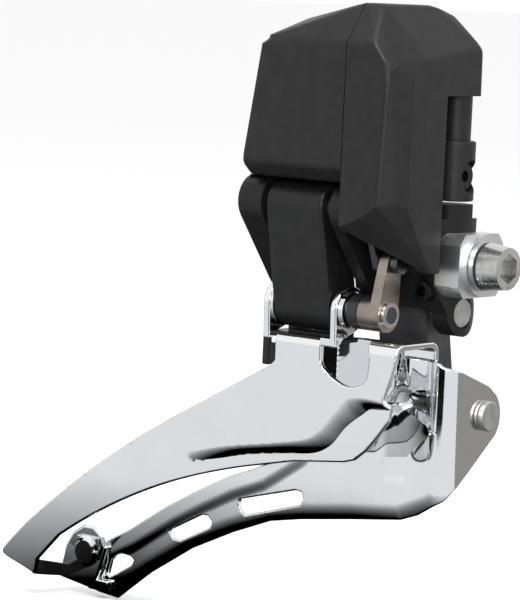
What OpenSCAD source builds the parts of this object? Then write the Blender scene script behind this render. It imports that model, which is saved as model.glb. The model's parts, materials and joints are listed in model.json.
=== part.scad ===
// Electronic front derailleur for a road bicycle, for a braze-on frame tab.
// +X points to the front of the bicycle, +Y inboard to the seat tube, +Z up.
// The origin is where the clamp bolt's axis meets the curved mounting face.

/* [Linkage] */
// Height of a link between its two pivots
link_rise = 19.5; // [19.3:0.1:19.7]
// Inboard lean of the links at rest
link_lean = 3.7; // [3.5:0.1:3.9]
// Width of the outer link along its pins
link_w = 13.8; // [13:0.1:13.8]
// Radius of the outer link's round ends
link_r = 4.4; // [4:0.1:4.4]

/* [Cage] */
// Distance between the middles of the two cage plates
cage_w = 12; // [11.6:0.1:12]
// Thickness of the cage plates
sheet = 1.2; // [1:0.1:1.2]

/* [Housing] */
// Thickness of the housing's walls
wall = 1.8; // [1.6:0.1:1.8]
// Height of the housing's roof above the clamp bolt
roof_z = 48.5; // [47:0.5:49]

/* [Clamp] */
// Radius of the clamp bolt's thread
clamp_r = 2.45; // [2.4:0.01:2.45]
// Width across the flats of the clamp bolt's socket
clamp_key = 5; // [4:0.5:5]
// Radius of the curved mounting face
saddle_r = 12.2; // [11.8:0.1:12.6]

/* [Gears] */
// Teeth on the full circle of the output sector
sector_teeth = 28; // [28]
// Teeth on the gear motor's pinion
pinion_teeth = 12; // [12]

/* [Hidden] */
$fn = 64;

// Pivots as [y, z]; every axis runs along X
p1 = [-18.5, 9.9];
p3 = [0.4, -9.4];
p2 = p1 + [link_lean, -link_rise];
p4 = p3 + [link_lean, -link_rise];
shaft = [-17.25, 12.5];
knee = [-13.4, 0.1];
pin_r = 1.6;
arm_pin_r = 1.4;
bush_r = 2.5;
fit = 0.04;

// The gear motor stands straight above the output shaft
gear_m = 0.5;
motor = shaft + [0, gear_m * (sector_teeth + pinion_teeth) / 2];
motor_r = 5.4;

// Cage plates by their middle planes, and the web over their front ends
outer_y = -18.5;
inner_y = outer_y + cage_w;
web_top = -14.4;

// Housing faces
side_y = -25.5;
inboard_y = 1.5;
front_x = 1;
seam_x = -11;
seam = 0.2;
cover_floor = 14.8;
case_floor = 18.2;
notch_y = -9.6;
notch_top = 31.8;

// Where things stand along X
cheek_rear = -37.2;
link_x0 = -31;
link_x1 = link_x0 + link_w;
cheek_front = -12.2;
inner_x0 = -18.1;
inner_x1 = -6.4;
cage_lug_x0 = -33.2;
lug_x1 = -15.3;
outer_lug_r = 4.6;
pocket_x0 = -3.1;
pocket_x1 = front_x - wall;
web_x1 = -0.7;

// ---- helpers -------------------------------------------------------------

// Extrudes a [y, z] outline along X
module along_x(x0, x1) {
    translate([x0, 0, 0]) rotate([90, 0, 90]) linear_extrude(x1 - x0) children();
}

// Extrudes an [x, z] outline along Y
module along_y(y0, y1) {
    translate([0, y1, 0]) rotate([90, 0, 0]) linear_extrude(y1 - y0) children();
}

// Extrudes an [x, y] outline along Z
module along_z(z0, z1) {
    translate([0, 0, z0]) linear_extrude(z1 - z0) children();
}

// Round bars along X, Y and Z about a point in the plane across them
module bar_x(p, r, x0, x1) {
    translate([x0, p[0], p[1]]) rotate([0, 90, 0]) cylinder(r = r, h = x1 - x0);
}

module bar_y(p, r, y0, y1) {
    translate([p[0], y0, p[1]]) rotate([-90, 0, 0]) cylinder(r = r, h = y1 - y0);
}

module bar_z(p, r, z0, z1) {
    translate([p[0], p[1], z0]) cylinder(r = r, h = z1 - z0);
}

// Cone along X
module cone_x(p, r0, r1, x0, x1) {
    translate([x0, p[0], p[1]]) rotate([0, 90, 0]) cylinder(r1 = r0, r2 = r1, h = x1 - x0);
}

// Hexagonal key sockets
module hex_x(p, key, x0, x1) {
    translate([x0, p[0], p[1]]) rotate([0, 90, 0]) cylinder(r = key / sqrt(3), h = x1 - x0, $fn = 6);
}

module hex_y(p, key, y0, y1) {
    translate([p[0], y0, p[1]]) rotate([-90, 0, 0]) cylinder(r = key / sqrt(3), h = y1 - y0, $fn = 6);
}

// Box between two corners
module block(a, b) {
    translate(a) cube(b - a);
}

// Everything on the side of a plane that its normal n points to
module beyond(p, n) {
    big = 120;
    translate(p) rotate([0, acos(n[2] / norm(n)), atan2(n[1], n[0])])
        translate([-big / 2, -big / 2, 0]) cube([big, big, big / 2]);
}

// A convex outline, listed anticlockwise, with every side moved in by d
function side_in(p, q, d) = let (t = (q - p) / norm(q - p)) [p + d * [-t[1], t[0]], t];
function meet(a, b) = let (c = a[1][0] * b[1][1] - a[1][1] * b[1][0], w = b[0] - a[0])
    a[0] + a[1] * (w[0] * b[1][1] - w[1] * b[1][0]) / c;
function inset(pts, d) = let (n = len(pts)) [for (i = [0 : n - 1])
    meet(side_in(pts[(i + n - 1) % n], pts[i], d), side_in(pts[i], pts[(i + 1) % n], d))];

// Points on the arc from a through b to c
function centre3(a, b, c) = let (
    d = 2 * (a[0] * (b[1] - c[1]) + b[0] * (c[1] - a[1]) + c[0] * (a[1] - b[1])),
    qa = a * a, qb = b * b, qc = c * c)
    [qa * (b[1] - c[1]) + qb * (c[1] - a[1]) + qc * (a[1] - b[1]),
     qa * (c[0] - b[0]) + qb * (a[0] - c[0]) + qc * (b[0] - a[0])] / d;
function near(x, y) = x - y > 180 ? x - 360 : x - y < -180 ? x + 360 : x;
function arc3(a, b, c, n = 8) = let (
    o = centre3(a, b, c), r = norm(a - o),
    t0 = atan2(a[1] - o[1], a[0] - o[0]),
    t1 = near(atan2(b[1] - o[1], b[0] - o[0]), t0),
    t2 = near(atan2(c[1] - o[1], c[0] - o[0]), t1))
    [for (i = [0 : n]) o + r * [cos(t0 + (t2 - t0) * i / n), sin(t0 + (t2 - t0) * i / n)]];

// Outline of a bar with a round end of its own radius at each of two points
module belt(a, ra, b, rb, n = 14) {
    d = b - a;
    way = atan2(d[1], d[0]);
    k = acos((ra - rb) / norm(d));
    far_end = [for (i = [0 : n]) let (t = way + k + (360 - 2 * k) * i / n) a + ra * [cos(t), sin(t)]];
    near_end = [for (i = [0 : n]) let (t = way - k + 2 * k * i / n) b + rb * [cos(t), sin(t)]];
    polygon(concat(far_end, near_end));
}

// Gear teeth as a polygon; a tooth points up the second axis when turn is 0
function tooth_ring(m, teeth, turn, first, last) = let (
    pitch = 360 / teeth, r = m * teeth / 2, root = r - 1.1 * m, tip = r + 0.62 * m)
    [for (i = [first : last], c = [[root, -0.34], [tip, -0.14], [tip, 0.14], [root, 0.34]])
        let (a = turn + pitch * (i + c[1])) c[0] * [sin(a), cos(a)]];

// ---- housing -------------------------------------------------------------

case_plan = [[seam_x, side_y], [-1.2, side_y], [front_x, -21], [front_x, -0.5], [0, inboard_y],
             [seam_x, inboard_y]];
case_side = [[seam_x, -1.3], [front_x, -1.3], [front_x, 40], [-3.5, 47.3], [-8, roof_z], [seam_x, roof_z]];
cover_plan = [[seam_x, inboard_y], [-34.5, inboard_y], [-37, -1], [-37, -23], [-35, side_y],
              [seam_x, side_y]];
cover_side = [[seam_x, roof_z], [-13.5, roof_z], [-27.5, 45], [-31.8, 40.8], [-36, cover_floor],
              [seam_x, cover_floor]];
gable_top = [[inboard_y, 41], [-1, 46.3], [-7, roof_z], [-20.4, roof_z], [side_y, 41]];
case_gable = concat([[side_y, -12], [inboard_y, -12]], gable_top);
cover_gable = concat([[side_y, cover_floor + 3], [side_y + 3, cover_floor], [inboard_y, cover_floor]],
                     gable_top);

// Plane of the slanted face under the outboard corner of the case
skirt_rear = [-11, side_y, 7];
skirt_bend = [front_x, -20.3, 10.9];
skirt_tip = [front_x, -12.4, -1.2];
skirt_n = cross(skirt_tip - skirt_rear, skirt_bend - skirt_rear);

front_screw = [-0.4, 16.6];
ear_x0 = -9.4;
ear_top = 19.6;
neck_screw = [-26, -5.4];
cover_screws = [[-23, 18.6], [-20.3, 39], [-2.2, 19.5]];
socket_at = [-9, 23];
socket_r = 2.75;

module case_body(d) {
    intersection() {
        along_z(-12, roof_z + 1) polygon(inset(case_plan, d));
        along_x(seam_x - 1, front_x + 1) polygon(inset(case_gable, d));
        along_y(side_y - 1, inboard_y + 1) polygon(inset(case_side, d));
    }
}

module cover_body(d) {
    intersection() {
        along_z(cover_floor - 1, roof_z + 1) polygon(inset([for (i = [5 : -1 : 0]) cover_plan[i]], d));
        along_x(-38, seam_x + 1) polygon(inset(cover_gable, d));
        along_y(side_y - 1, inboard_y + 1) polygon(inset(cover_side, d));
    }
}

// The hollow under the case where the output arm and the rod swing
module arm_room() {
    block([seam_x - 1, side_y + wall, 8], [pocket_x0 - 1.4, notch_y - 1.2, case_floor - 1.6]);
    along_z(-14, 8.1) polygon([[seam_x - 1, -24.7], [seam_x, -24.7], [-4.7, -18], [pocket_x1, -13.9],
                               [pocket_x1, notch_y - 1.2], [seam_x - 1, notch_y - 1.2]]);
}

// The narrow room for the sector gear and the pinion, behind the front wall
module gear_pocket() {
    bar_x(shaft, 3.1, pocket_x0, pocket_x1);
    block([pocket_x0, -22.9, 13.9], [pocket_x1, notch_y - 1.4, 20.2]);
    block([pocket_x0, motor[0] - 3.7, 13.9], [pocket_x1, motor[0] + 3.7, motor[1] + 3.7]);
}

module motor_case() color([0.13, 0.13, 0.14]) difference() {
    union() {
        difference() {
            case_body(0);
            beyond(skirt_rear, skirt_n);
            arm_room();
            block([seam_x - 1, notch_y, -13], [front_x + 1, inboard_y + 1, cover_floor + fit]);
            block([ear_x0 - 0.1, -5.3, -13], [-6.9, inboard_y + 1, ear_top + 0.1]);
            block([-7, notch_y, -13], [front_x + 1, inboard_y + 1, notch_top]);
            intersection() {
                translate([-wall, 0, 0]) case_body(wall);
                union() {
                    block([seam_x - 3, side_y, case_floor], [front_x, notch_y - wall, roof_z]);
                    block([seam_x - 3, side_y, case_floor], [-7 - wall, -5.3 - wall, roof_z]);
                    block([seam_x - 3, side_y, ear_top + wall], [-7 - wall, inboard_y, roof_z]);
                    block([seam_x - 3, side_y, notch_top + wall], [front_x, inboard_y, roof_z]);
                }
            }
            block([seam_x - 1, side_y, -13], [seam_x + seam / 2, inboard_y + 1, roof_z + 1]);
        }
        // Upright bar and screw block in the notch
        bar_z([-3, -1.2], 2.9, front_screw[1] + 6, notch_top);
        block([-7.2, -5.2, notch_top - 19.9], [-2.6, 1.5, notch_top - 8.4]);
        bar_z([-3, -1.2], 4, notch_top - 19.9, notch_top - 8.4);
    }
    gear_pocket();
    bar_x(shaft, bush_r, pocket_x0 - 2, pocket_x0);
    bar_x(shaft, 1.6, pocket_x1 - 1, pocket_x1 + 0.9);
    bar_x(front_screw, 1.25, seam_x + 0.8, 1);
    bar_x(front_screw, 3.2, -2.2, 2);
}

// Where a cover screw's head begins, just inside the slanted rear face
function head_x(p) = cover_side[4][0] + 0.4
    + (p[1] - cover_floor) * (cover_side[3][0] - cover_side[4][0]) / (cover_side[3][1] - cover_floor);

module rear_cover() color([0.15, 0.15, 0.16]) difference() {
    union() {
        difference() {
            cover_body(0);
            intersection() {
                union() {
                    cover_body(wall);
                    translate([wall, 0, 0]) cover_body(wall);
                }
                block([-36, side_y, cover_floor + wall], [seam_x + 2, inboard_y, roof_z]);
            }
        }
        bar_z(neck_screw, 2.6, cover_floor + 1, cover_floor + 5);
    }
    block([seam_x - seam / 2, side_y - 1, 0], [seam_x + 2, inboard_y + 1, roof_z + 1]);
    bar_x(socket_at, socket_r + fit, -38, -30);
    for (p = cover_screws) {
        bar_x(p, 1.05, -38, seam_x);
        bar_x(p, 2.1, -40, head_x(p) + 1.3);
    }
    bar_z(neck_screw, 1.25, 10, 19);
}

module case_gasket() color([0.05, 0.05, 0.05]) difference() {
    along_x(seam_x - seam / 2, seam_x + seam / 2) polygon(inset(cover_gable, 0.5));
    along_x(seam_x - 1, seam_x + 1) polygon(inset(cover_gable, wall));
}

module case_screws() color([0.2, 0.2, 0.2]) for (p = cover_screws) {
    difference() {
        bar_x(p, 1.9, head_x(p), head_x(p) + 1.3);
        hex_x(p, 1.5, head_x(p) - 1, head_x(p) + 0.7);
    }
    bar_x(p, 0.95, head_x(p) + 1.3, seam_x - seam / 2);
}

// ---- bracket -------------------------------------------------------------

cheek_low = [-9.5, -3.4];
lobe_r = 4.5;

module cheek() {
    belt(p1, 5, cheek_low, 4.2);
    polygon([p1 + [0, 4.6], p1 + [0, -4], [-8, -7.4], [-2.6, -3.4], [-2.6, cover_floor], [-21, cover_floor]]);
}

module mount_bracket() color([0.08, 0.08, 0.085]) difference() {
    union() {
        along_x(cheek_rear, link_x0 - 0.5) cheek();
        along_x(link_x1 + 2.3, cheek_front) intersection() {
            cheek();
            translate([-40, -20]) square([40, 34.2]);
        }
        // Spine between the cheeks
        block([cheek_rear, -8.2, 0.5], [-9, -2.6, cover_floor]);
        // Ears for the two screws that hold the motor unit
        block([ear_x0, -5.2, 8], [-7.2, 1.5, ear_top]);
        // Boss with the curved mounting face, and its lobe round the inner link's pin
        intersection() {
            union() {
                along_x(-12.2, 1) polygon([[-7, 8.6], [-7, -4], [-4.1, -9.4], [3.6, -9.4], [3.6, 8.6]]);
                bar_x(p3, lobe_r, -4.3, 1);
            }
            bar_z([-saddle_r, 0], saddle_r, -20, 20);
            block([-13, -20, -20], [1, 20, 8.6]);
        }
        along_x(-22.2, -18.4) belt([-3.2, 4], 4, p3, lobe_r);
        // Round top of the boss, just under the motor unit's front screw
        intersection() {
            bar_z([-3, -1.2], 4, 8, 11.3);
            bar_z([-saddle_r, 0], saddle_r, -20, 20);
        }
    }
    // Room for the inner link, and for the outer plate's rear lug
    bar_x(p3, 4.9, inner_x0 - 0.3, inner_x1 + 0.15);
    bar_x(p2, outer_lug_r + 0.1, cage_lug_x0 - 0.1, link_x0);
    bar_x(p1, pin_r, cheek_rear + 0.6, -5);
    bar_x(p3, pin_r, -23, 1);
    bar_x(p3, 2.9, -1.3, 1);
    bar_x([0, 0], clamp_r + 0.03, -9.5, 1);
    bar_y([-4.2, -5.2], 2 + 0.03, -12, 8);
    bar_y([-24, 4], 1.5 + 0.03, -10, 0);
    bar_x(front_screw, 1.25, -11, -6);
    bar_z(neck_screw, 1.25, 6, cover_floor + 1);
    bar_z(neck_screw, 2.3, 0, 8.5);
}

module unit_screws() color([0.12, 0.12, 0.12]) {
    difference() {
        union() {
            bar_z(neck_screw, 2.2, 6.5, 8.5);
            bar_z(neck_screw, 1.25, 8.5, 19);
        }
        translate([neck_screw[0], neck_screw[1], 6]) cylinder(r = 1.2, h = 1.7, $fn = 6);
    }
    difference() {
        union() {
            bar_x(front_screw, 2.5, -2.2, -0.9);
            bar_x(front_screw, 1.25, seam_x + 1, -2.2);
        }
        hex_x(front_screw, 2, -1.9, 0);
    }
}

module upper_pivot_pin() color("silver") bar_x(p1, pin_r, cheek_rear + 0.6, cheek_front);

module inner_pivot_pin() color("silver") {
    bar_x(p3, pin_r, -24, -1.3);
    bar_x(p3, 2.7, -1.3, -0.4);
}

module inner_pin_clip() color([0.35, 0.35, 0.36]) difference() {
    bar_x(p3, 2.9, -23.2, -22.2);
    bar_x(p3, pin_r, -24, -22);
    block([-24, p3[0] - 0.9, p3[1] - 4], [-22, p3[0] + 0.9, p3[1]]);
}

// ---- inside the motor unit -----------------------------------------------

module motor_can() color([0.6, 0.61, 0.62]) {
    bar_x(motor, motor_r, -31.8, -20);
    bar_x(motor, 2, -32.3, -31.8);
}

module motor_gearhead() color([0.45, 0.45, 0.46]) difference() {
    union() {
        bar_x(motor, motor_r, -20, -12.8);
        bar_x(motor, 2.2, -12.8, -8.4);
    }
    bar_x(motor, 0.8, -15, -8);
}

module circuit_board() color([0.05, 0.25, 0.14]) {
    block([-30.6, -20, 30], [-12.6, -3.4, 31]);
    block([-29, -18, 31], [-22, -11, 32.4]);
    block([-19, -9, 31], [-15, -5, 32]);
}

module wire_socket() color([0.1, 0.1, 0.1]) difference() {
    union() {
        bar_x(socket_at, socket_r, -36.8, -28);
        bar_x(socket_at, 1.6, -28, -27);
    }
    bar_x(socket_at, 2, -38, -29);
}

module shaft_bush() color([0.72, 0.58, 0.3]) difference() {
    bar_x(shaft, bush_r, pocket_x0 - 0.8, pocket_x0);
    bar_x(shaft, 1.5 + fit, pocket_x0 - 1, pocket_x0 + 1);
}

module shaft_seal() color([0.05, 0.05, 0.05]) difference() {
    bar_x(shaft, bush_r, pocket_x0 - 1.4, pocket_x0 - 0.8);
    bar_x(shaft, 1.5 + fit, pocket_x0 - 2, pocket_x0);
}

// ---- clamp and adjusters ---------------------------------------------------

module clamp_washer() color([0.78, 0.79, 0.8]) difference() {
    union() {
        intersection() {
            block([-2.2, -6.9, -6], [3.6, 6.9, 6]);
            bar_x([0, 0], 7.9, -3, 4);
        }
        bar_x([0, 0], 5.8, 3.6, 4.5);
    }
    bar_z([-saddle_r, 0], saddle_r + 0.15, -10, 10);
    bar_x([0, 0], clamp_r + 0.3, -1, 6);
}

module clamp_bolt() color([0.66, 0.66, 0.66]) difference() {
    union() {
        bar_x([0, 0], clamp_r, -9, 4.6);
        bar_x([0, 0], 4.6, 4.5, 5);
        bar_x([0, 0], 4.1, 5, 5.7);
        cone_x([0, 0], 4.6, 4, 5.7, 10);
    }
    hex_x([0, 0], clamp_key, 6.6, 11);
}

module clamp_seal_ring() color([0.05, 0.05, 0.05]) difference() {
    bar_x([0, 0], 4.5, 5, 5.7);
    bar_x([0, 0], 4.1, 4, 6);
}

module support_bolt() color([0.35, 0.33, 0.3]) difference() {
    union() {
        bar_y([-4.2, -5.2], 2, -8, 12.4);
        bar_y([-4.2, -5.2], 1.5, 12.4, 13);
    }
    hex_y([-4.2, -5.2], 2, -9, -5.6);
}

module low_adjust_screw() color([0.3, 0.3, 0.3]) difference() {
    bar_y([-24, 4], 1.5, -12.5, -0.8);
    hex_y([-24, 4], 1.5, -2.8, 1);
}

// ---- drive -----------------------------------------------------------------

module output_shaft() color("silver") bar_x(shaft, 1.5, -10.6, front_x - 1);

module output_gear() color([0.75, 0.62, 0.35]) difference() {
    union() {
        along_x(-2.9, -1.1) translate(shaft) polygon(concat(
            [[0, 0]], tooth_ring(gear_m, sector_teeth, 0, -3, 1)));
        bar_x(shaft, 2.6, -2.9, -1.1);
    }
    bar_x(shaft, 1.5, -4, 0);
}

module output_arm() color([0.3, 0.29, 0.28]) difference() {
    union() {
        along_x(-10.2, -8.9) belt(shaft, 2.9, knee, 2.3);
        bar_x(shaft, 2.5, -9, -4.8);
    }
    bar_x(shaft, 1.5, -11, 0);
    bar_x(knee, arm_pin_r, -11, 0);
}

module arm_pin() color("silver") {
    bar_x(knee, arm_pin_r, -10.5, -6.2);
    bar_x(knee, 1.9, -6.2, -4.7);
}

module drive_rod() color([0.5, 0.47, 0.44]) difference() {
    union() {
        along_x(-8.7, -6.5) belt(knee, 2.1, p2, 3.1);
        bar_x(p2, 3.3, -11.4, -6.4);
    }
    bar_x(knee, arm_pin_r + 0.09, -12, 0);
    bar_x(p2, 2.2, -12, 0);
}

module rod_bush() color([0.75, 0.6, 0.35]) difference() {
    bar_x(p2, 2.2, -11.4, -6.4);
    bar_x(p2, pin_r + fit, -12, 0);
}

module motor_pinion() color([0.72, 0.58, 0.3]) {
    along_x(-3, -1) translate(motor)
        polygon(tooth_ring(gear_m, pinion_teeth, 180 + 180 / pinion_teeth, 0, pinion_teeth - 1));
    bar_x(motor, 0.75, -14.8, -3);
}

// ---- links -----------------------------------------------------------------

module outer_link() color([0.1, 0.1, 0.105]) difference() {
    along_x(link_x0, link_x1) belt(p1, link_r, p2, link_r);
    bar_x(p1, bush_r, link_x0 - 1, link_x1 + 1);
    bar_x(p2, bush_r, link_x0 - 1, link_x1 + 1);
}

module outer_link_bushes() color([0.72, 0.58, 0.3]) for (p = [p1, p2], s = [0, 1]) difference() {
    bar_x(p, bush_r, s == 0 ? link_x0 : link_x1 - 4, s == 0 ? link_x0 + 4 : link_x1);
    bar_x(p, pin_r + fit, link_x0 - 1, link_x1 + 1);
}

module inner_link() color([0.18, 0.18, 0.19]) difference() {
    union() {
        along_x(inner_x0, inner_x1) belt(p3, 3.6, p4, 3.4);
        bar_x(p4, 3.1, inner_x1 - 1, 1.8);
        along_x(inner_x1 - 0.5, 0) belt(p4 + [-0.9, 5], 1.6, p4, 2.9);
    }
    bar_x(p3, bush_r, inner_x0 - 1, inner_x1 + 1);
    bar_x(p4, bush_r, inner_x0 - 1, 3);
}

module inner_link_bushes() color([0.72, 0.58, 0.3]) {
    for (x = [inner_x0, inner_x1 - 4]) link_bush(p3, x, pin_r + fit);
    for (x = [inner_x0, -2.2]) link_bush(p4, x, pin_r + 0.08);
}

module link_bush(p, x, r) {
    difference() {
        bar_x(p, bush_r, x, x + 4);
        bar_x(p, r, x - 1, x + 5);
    }
}

// ---- cage ------------------------------------------------------------------

module outer_outline() {
    polygon(concat(
        arc3([-30.1, -20.4], [-31, -21.3], [-33.5, -22.8], 4),
        arc3([-61.8, -38.9], [-78, -48.6], [-94.8, -61.7]),
        [[-101.5, -68.4], [-100.2, -69.9], [-91.9, -72.2], [-91.5, -69.2]],
        arc3([-85.5, -63.2], [-61.2, -50.1], [-35.4, -41.9]),
        arc3([-13.3, -38.2], [-8.2, -35.4], [-2.8, -27], 6),
        [[-2, -21], [-0.3, web_top], [-7, web_top]],
        arc3([-7.2, -22.2], [-11, -23.4], [-14.4, -22.8], 4),
        [[-16.8, -20.6], [-16.8, -14.9], [-30.3, -14.9]]));
}

// Lug folded inboard from the plate's edge, round the lower pivot pin
module outer_lug(x0, x1, low) {
    along_x(x0, x1) {
        translate(p2) circle(r = outer_lug_r);
        translate([outer_y - sheet / 2, low]) square([p2[0] + 4 - outer_y, p2[1] + 1 - low]);
    }
}

module outer_plate() color([0.86, 0.87, 0.88]) difference() {
    union() {
        along_y(outer_y - sheet / 2, outer_y + sheet / 2) outer_outline();
        outer_lug(cage_lug_x0, -31.6, -20);
        block([-33.2, outer_y - sheet / 2, -21.8], [-29.8, outer_y + sheet / 2, -14.9]);
        outer_lug(-16.8, lug_x1, -18.5);
        // Shelf between the lugs, under the outer link
        block([cage_lug_x0, outer_y - sheet / 2, web_top - 1.7], [lug_x1, -11.8, web_top - 0.5]);
    }
    bar_x(p2, pin_r, -40, -10);
    translate([0, 0, -7]) block([-36, outer_y - 3, web_top], [-10, p2[0] - 3.4, 20]);
}

windows = [
    [[-82.4, -72.3], [-81.2, -68.8], [-78.5, -67.3], [-75.4, -68.2], [-79.9, -71.7]],
    [[-65.8, -61], [-57.3, -56], [-54.5, -57.3], [-63.2, -62.2]],
    [[-47.6, -51.8], [-32.2, -47.3], [-31.3, -49.6], [-46.4, -54.3]]
];

module inner_outline() {
    difference() {
        polygon(concat(
            [[3.3, -19.3], [3.3, -38.2]],
            arc3([3.3, -38.2], [0.2, -44.4], [-7.5, -49.5], 6),
            arc3([-19.6, -51.2], [-50, -58.4], [-79.6, -76.9]),
            [[-85.4, -76.2], [-84.2, -66.5]],
            arc3([-77.1, -62.2], [-58.4, -51.1], [-42.9, -44.2]),
            arc3([-34, -38], [-31.6, -29], [-31, -19], 6),
            [[-30, -17], [-28, -15.8], [-0.7, -15.6]]));
        for (w = windows) polygon(w);
    }
}

// Flange folded inboard from the inner plate, round the cage's inner pin
module inner_lug(x0, x1, top) {
    y0 = inner_y - sheet / 2;
    along_x(x0, x1) polygon(concat(
        [[y0, top]], arc3([5.4, top - 4], [9.4, p4[1] + 0.5], [7.4, p4[1] - 5.4]), [[y0, top - 24]]));
}

module inner_plate() color([0.84, 0.85, 0.86]) difference() {
    union() {
        along_y(inner_y - sheet / 2, inner_y + sheet / 2) inner_outline();
        inner_lug(2.1, 3.3, -19.4);
        inner_lug(-19.8, -18.6, -19.4);
        // Web over the front of the cage
        block([-9, outer_y + sheet / 2, web_top - sheet], [web_x1, inner_y + sheet / 2, web_top]);
        block([-9, inner_y - sheet / 2, web_top - 3], [web_x1, inner_y + sheet / 2, web_top]);
        block([-9, outer_y + sheet / 2, web_top - 6], [web_x1 - 0.6, outer_y + 1.5 * sheet, web_top]);
    }
    bar_x(p4, pin_r, -30, 10);
    for (x = [-3, -6.5]) bar_y([x, web_top - 3.6], 0.9, outer_y, outer_y + 3);
}

tail = [-87.2, -68];

module tail_bridge() color([0.82, 0.83, 0.84]) difference() {
    union() {
        // Tab that the rivet goes through, and its joint with the inner plate
        along_y(inner_y - 2.1, inner_y - 0.9) polygon([
            [-95, -74.5], [-86.4, -75.6], [-84.4, -74.4], [-81.6, -66.5], [-83, -64.1], [-85.4, -62.5],
            [-88.3, -62.5], [-91.4, -64.5], [-93.3, -67.5]]);
        block([-86.8, inner_y - 2.1, -76], [-81, inner_y - sheet / 2, -73.4]);
        // Web to the outer plate, and its foot on that plate
        block([-93.7, outer_y + sheet / 2, -73.4], [-92.5, inner_y - 0.9, -69.8]);
        block([-98, outer_y + sheet / 2, -70.3], [-92.5, outer_y + 1.5 * sheet, -67]);
    }
    bar_y(tail, 1.5, -20, 0);
}

module tail_rivet() color([0.2, 0.2, 0.2]) {
    bar_y(tail, 2.4, inner_y - 3, inner_y - 2.1);
    bar_y(tail, 1.5, inner_y - 2.1, inner_y - 0.9);
    bar_y(tail, 2.4, inner_y - 0.9, inner_y);
}

module web_rivets() color("silver") for (x = [-3, -6.5]) {
    bar_y([x, web_top - 3.6], 0.9, outer_y + sheet / 2, outer_y + 1.5 * sheet);
}

module lower_pivot_pin() color("silver") {
    bar_x(p2, pin_r, -33.8, -5.6);
    bar_x(p2, 2.6, -34.4, -33.2);
    bar_x(p2, 2.4, -15.3, -14);
}

module drive_spacer() color([0.07, 0.07, 0.07]) difference() {
    bar_x(p2, 3.3, -14, -11.6);
    bar_x(p2, pin_r, -15, -10);
}

module pin_washer() color([0.5, 0.5, 0.5]) difference() {
    bar_x(p2, 2.4, -6.3, -5.7);
    bar_x(p2, pin_r, -7, -5);
}

module cage_pivot_pin() color([0.75, 0.75, 0.74]) {
    bar_x(p4, pin_r, -20.6, 3.3);
    bar_x(p4, 2.9, 3.3, 4.8);
}

motor_case();
rear_cover();
case_gasket();
mount_bracket();
case_screws();
unit_screws();
upper_pivot_pin();
inner_pivot_pin();
inner_pin_clip();
motor_can();
motor_gearhead();
circuit_board();
wire_socket();
shaft_bush();
shaft_seal();
clamp_washer();
clamp_bolt();
clamp_seal_ring();
support_bolt();
low_adjust_screw();
output_shaft();
output_gear();
output_arm();
arm_pin();
drive_rod();
rod_bush();
motor_pinion();
outer_link();
outer_link_bushes();
inner_link();
inner_link_bushes();
outer_plate();
inner_plate();
tail_bridge();
tail_rivet();
web_rivets();
lower_pivot_pin();
drive_spacer();
pin_washer();
cage_pivot_pin();
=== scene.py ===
"""Looks of an electronic front derailleur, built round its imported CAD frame.

Named lengths are in millimetres: X to the front of the bicycle, Y inboard, Z up.
"""
import json
import math

import bmesh
import bpy
import numpy as np
from mathutils import Matrix, Vector
from mathutils.geometry import delaunay_2d_cdt


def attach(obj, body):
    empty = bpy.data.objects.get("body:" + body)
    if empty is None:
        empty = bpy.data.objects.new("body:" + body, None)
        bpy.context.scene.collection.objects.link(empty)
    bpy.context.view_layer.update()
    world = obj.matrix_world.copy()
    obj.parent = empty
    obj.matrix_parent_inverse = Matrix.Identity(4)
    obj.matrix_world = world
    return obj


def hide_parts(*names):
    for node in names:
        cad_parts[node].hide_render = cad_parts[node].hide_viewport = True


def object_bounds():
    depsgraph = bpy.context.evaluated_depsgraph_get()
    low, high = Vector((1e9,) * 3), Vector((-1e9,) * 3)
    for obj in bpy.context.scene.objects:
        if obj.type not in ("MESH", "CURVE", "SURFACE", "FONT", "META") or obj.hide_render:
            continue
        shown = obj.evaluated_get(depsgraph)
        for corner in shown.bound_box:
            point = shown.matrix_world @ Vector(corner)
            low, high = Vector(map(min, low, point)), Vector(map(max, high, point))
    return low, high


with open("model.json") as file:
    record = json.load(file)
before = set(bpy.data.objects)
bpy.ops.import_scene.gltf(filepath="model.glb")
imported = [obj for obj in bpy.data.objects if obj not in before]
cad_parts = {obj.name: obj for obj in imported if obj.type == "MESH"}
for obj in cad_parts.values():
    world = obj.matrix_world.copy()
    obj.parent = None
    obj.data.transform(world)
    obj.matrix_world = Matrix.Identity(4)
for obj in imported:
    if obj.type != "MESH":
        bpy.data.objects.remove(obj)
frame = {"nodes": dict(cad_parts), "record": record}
cad_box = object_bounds()
MM = 0.001
X, Y, Z = range(3)
scene = bpy.context.scene

# ---- meshes -----------------------------------------------------------------


def linked(name, data):
    """A new object with this data, in the scene."""
    obj = bpy.data.objects.new(name, data)
    scene.collection.objects.link(obj)
    return obj


def mesh_object(name, points, faces):
    """A new object from points in millimetres."""
    mesh = bpy.data.meshes.new(name)
    mesh.from_pydata([[c * MM for c in p] for p in points], [], [list(f) for f in faces])
    mesh.update()
    return linked(name, mesh)


def from_bmesh(name, bm):
    """A new object from a bmesh in millimetres, its faces turned outwards."""
    bmesh.ops.recalc_face_normals(bm, faces=bm.faces)
    mesh = bpy.data.meshes.new(name)
    bmesh.ops.scale(bm, vec=(MM, MM, MM), verts=bm.verts)
    bm.to_mesh(mesh)
    bm.free()
    return linked(name, mesh)


def applied(obj):
    """The object with its modifiers made part of its mesh."""
    graph = bpy.context.evaluated_depsgraph_get()
    graph.update()
    old = obj.data
    obj.data = bpy.data.meshes.new_from_object(obj.evaluated_get(graph))
    obj.modifiers.clear()
    bpy.data.meshes.remove(old)
    return obj


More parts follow.
